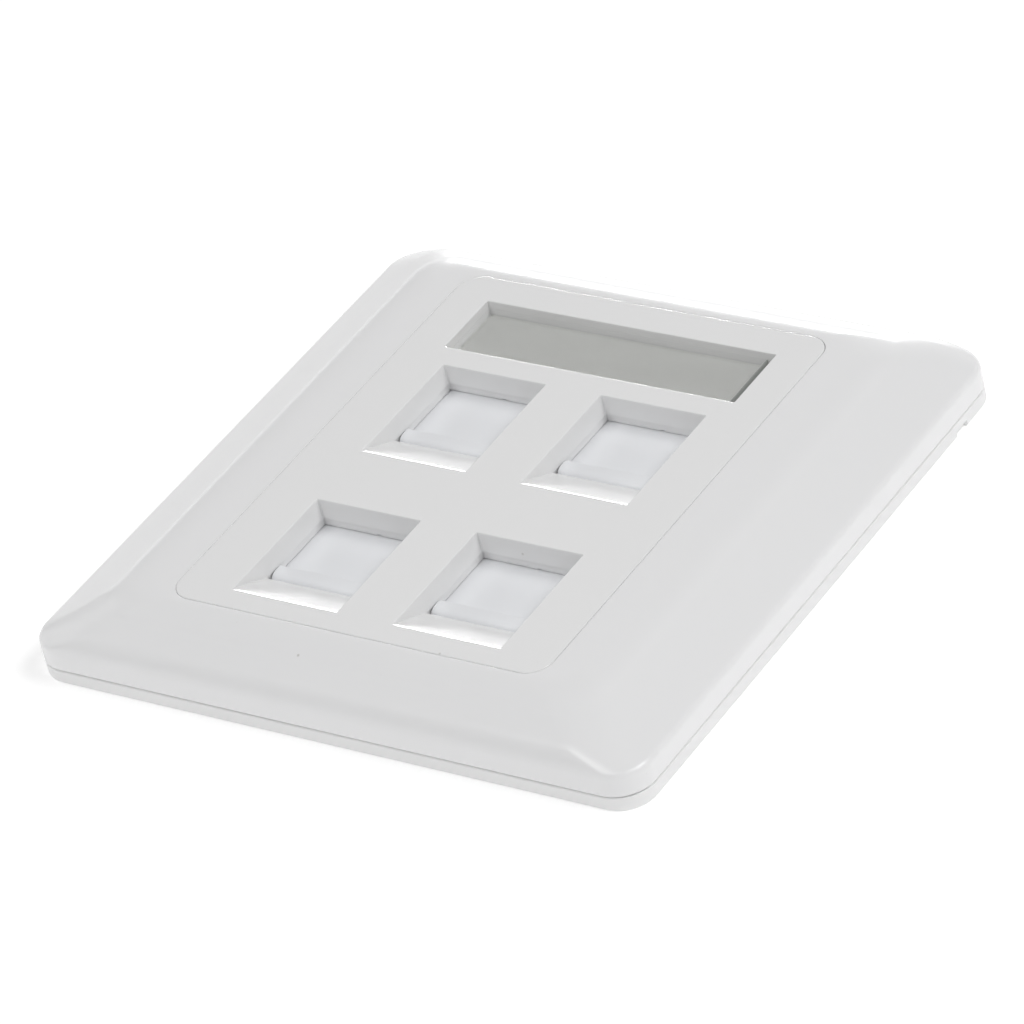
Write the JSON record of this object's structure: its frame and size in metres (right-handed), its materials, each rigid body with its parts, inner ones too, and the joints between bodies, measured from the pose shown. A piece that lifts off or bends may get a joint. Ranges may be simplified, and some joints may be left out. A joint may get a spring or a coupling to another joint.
{
  "type": "keystone faceplate",
  "caption": "Square wall faceplate with sprung dust shutters over its jack ports, a clip-fitted bevelled cover and a clear label strip.",
  "frame": {"origin": "centre of the back face, on the wall plane", "axes": "+X to the right, +Y up towards the label, +Z out of the wall towards the user"},
  "size_m": [0.086, 0.086, 0.0099],
  "materials": {
    "base_plastic": "satin white moulded plastic",
    "cover_plastic": "glossy white moulded plastic",
    "panel_plastic": "semi-gloss white moulded plastic",
    "clear_plastic": "clear polished plastic",
    "grey_card": "plain grey card",
    "shutter_plastic": "slightly translucent white plastic",
    "bay_plastic": "satin white moulded plastic",
    "spring_steel": "bright drawn wire"
  },
  "bodies": {
    "plate": {"base_plate": "base_plastic", "cover_frame": "cover_plastic", "port_panel": "panel_plastic", "label_window": "clear_plastic", "label_card": "grey_card", "bay_lower_left": "bay_plastic", "spring_lower_left": "spring_steel", "bay_lower_right": "bay_plastic", "spring_lower_right": "spring_steel", "bay_upper_left": "bay_plastic", "spring_upper_left": "spring_steel", "bay_upper_right": "bay_plastic", "spring_upper_right": "spring_steel"},
    "shutter_lower_left": {"shutter_lower_left": "shutter_plastic"},
    "shutter_lower_right": {"shutter_lower_right": "shutter_plastic"},
    "shutter_upper_left": {"shutter_upper_left": "shutter_plastic"},
    "shutter_upper_right": {"shutter_upper_right": "shutter_plastic"}
  },
  "joints": [
    {"name": "slide_lower_left", "type": "slide", "parent": "plate", "child": "shutter_lower_left", "axis": [0, 1, 0], "range_m": [0, 0.0095], "stiffness_N_per_m": 25, "springref_m": -0.002, "deforming": ["spring_lower_left"]},
    {"name": "slide_lower_right", "type": "slide", "parent": "plate", "child": "shutter_lower_right", "axis": [0, 1, 0], "range_m": [0, 0.0095], "stiffness_N_per_m": 25, "springref_m": -0.002, "deforming": ["spring_lower_right"]},
    {"name": "slide_upper_left", "type": "slide", "parent": "plate", "child": "shutter_upper_left", "axis": [0, 1, 0], "range_m": [0, 0.0095], "stiffness_N_per_m": 25, "springref_m": -0.002, "deforming": ["spring_upper_left"]},
    {"name": "slide_upper_right", "type": "slide", "parent": "plate", "child": "shutter_upper_right", "axis": [0, 1, 0], "range_m": [0, 0.0095], "stiffness_N_per_m": 25, "springref_m": -0.002, "deforming": ["spring_upper_right"]}
  ]
}
